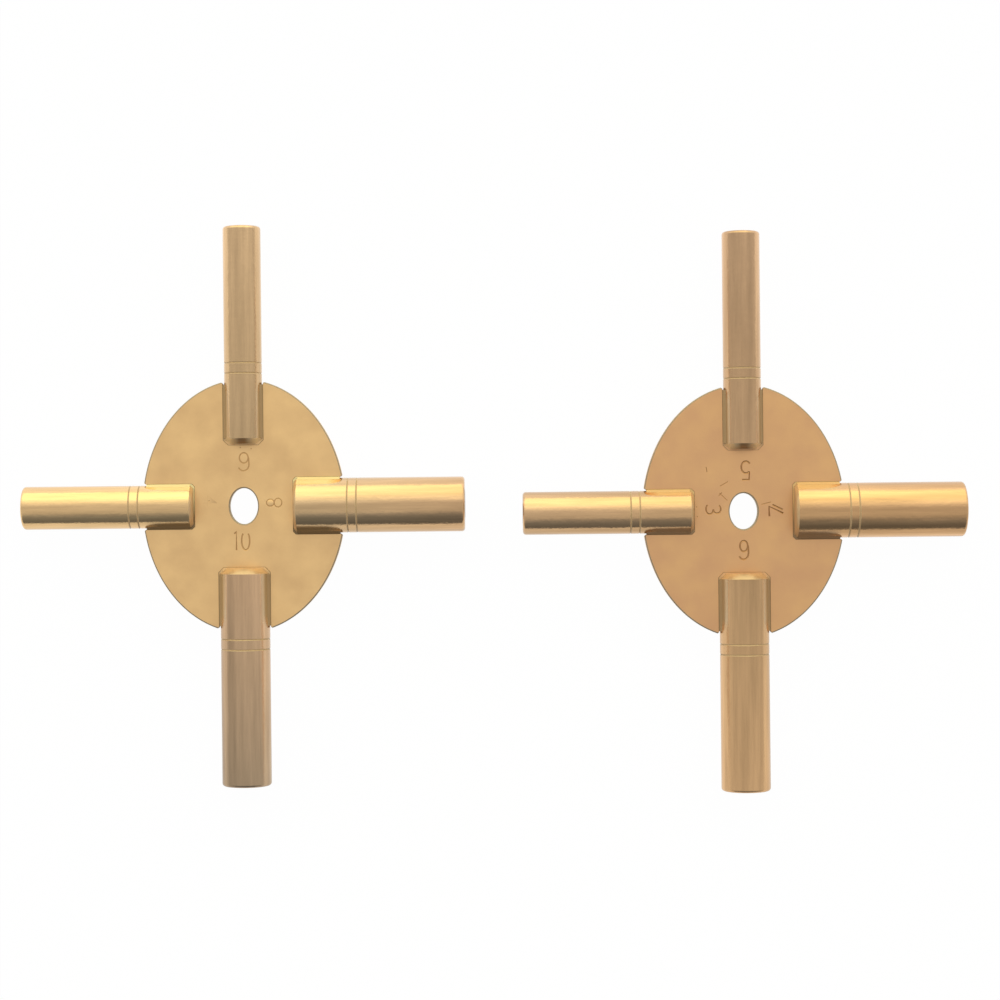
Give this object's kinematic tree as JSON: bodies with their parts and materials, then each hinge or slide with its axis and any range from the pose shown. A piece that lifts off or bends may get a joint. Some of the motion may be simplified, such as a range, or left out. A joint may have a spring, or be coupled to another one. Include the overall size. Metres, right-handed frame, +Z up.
{
  "type": "clock key",
  "caption": "Flat brass clock-winding keys: an oval plate with a hanging hole and round grooved barrels brazed into its notches, each ending in a square winding socket.",
  "frame": {"origin": "on the surface that the keys lie on, under the middle of the set", "axes": "+X across the set, from the even key to the odd key. +Y towards the top barrels. +Z up, out of the plates' faces."},
  "size_m": [0.1644, 0.0996, 0.0096],
  "materials": {
    "even_plate_brass": "satin, yellow brass",
    "odd_plate_brass": "satin, redder brass",
    "barrel_brass": "turned and polished",
    "braze": "dull, darkened by flux"
  },
  "bodies": {
    "even_key": {"even_plate": "even_plate_brass", "barrel_no_4": "barrel_brass", "barrel_no_6": "barrel_brass", "barrel_no_8": "barrel_brass", "barrel_no_10": "barrel_brass", "braze_no_4": "braze", "braze_no_6": "braze", "braze_no_8": "braze", "braze_no_10": "braze"},
    "odd_key": {"odd_plate": "odd_plate_brass", "barrel_no_3": "barrel_brass", "barrel_no_5": "barrel_brass", "barrel_no_7": "barrel_brass", "barrel_no_9": "barrel_brass", "braze_no_3": "braze", "braze_no_5": "braze", "braze_no_7": "braze", "braze_no_9": "braze"}
  },
  "joints": [
    {"name": "odd_key_lift", "type": "slide", "parent": "even_key", "child": "odd_key", "axis": [0, 0, 1], "range_m": [0, 0.04]}
  ]
}
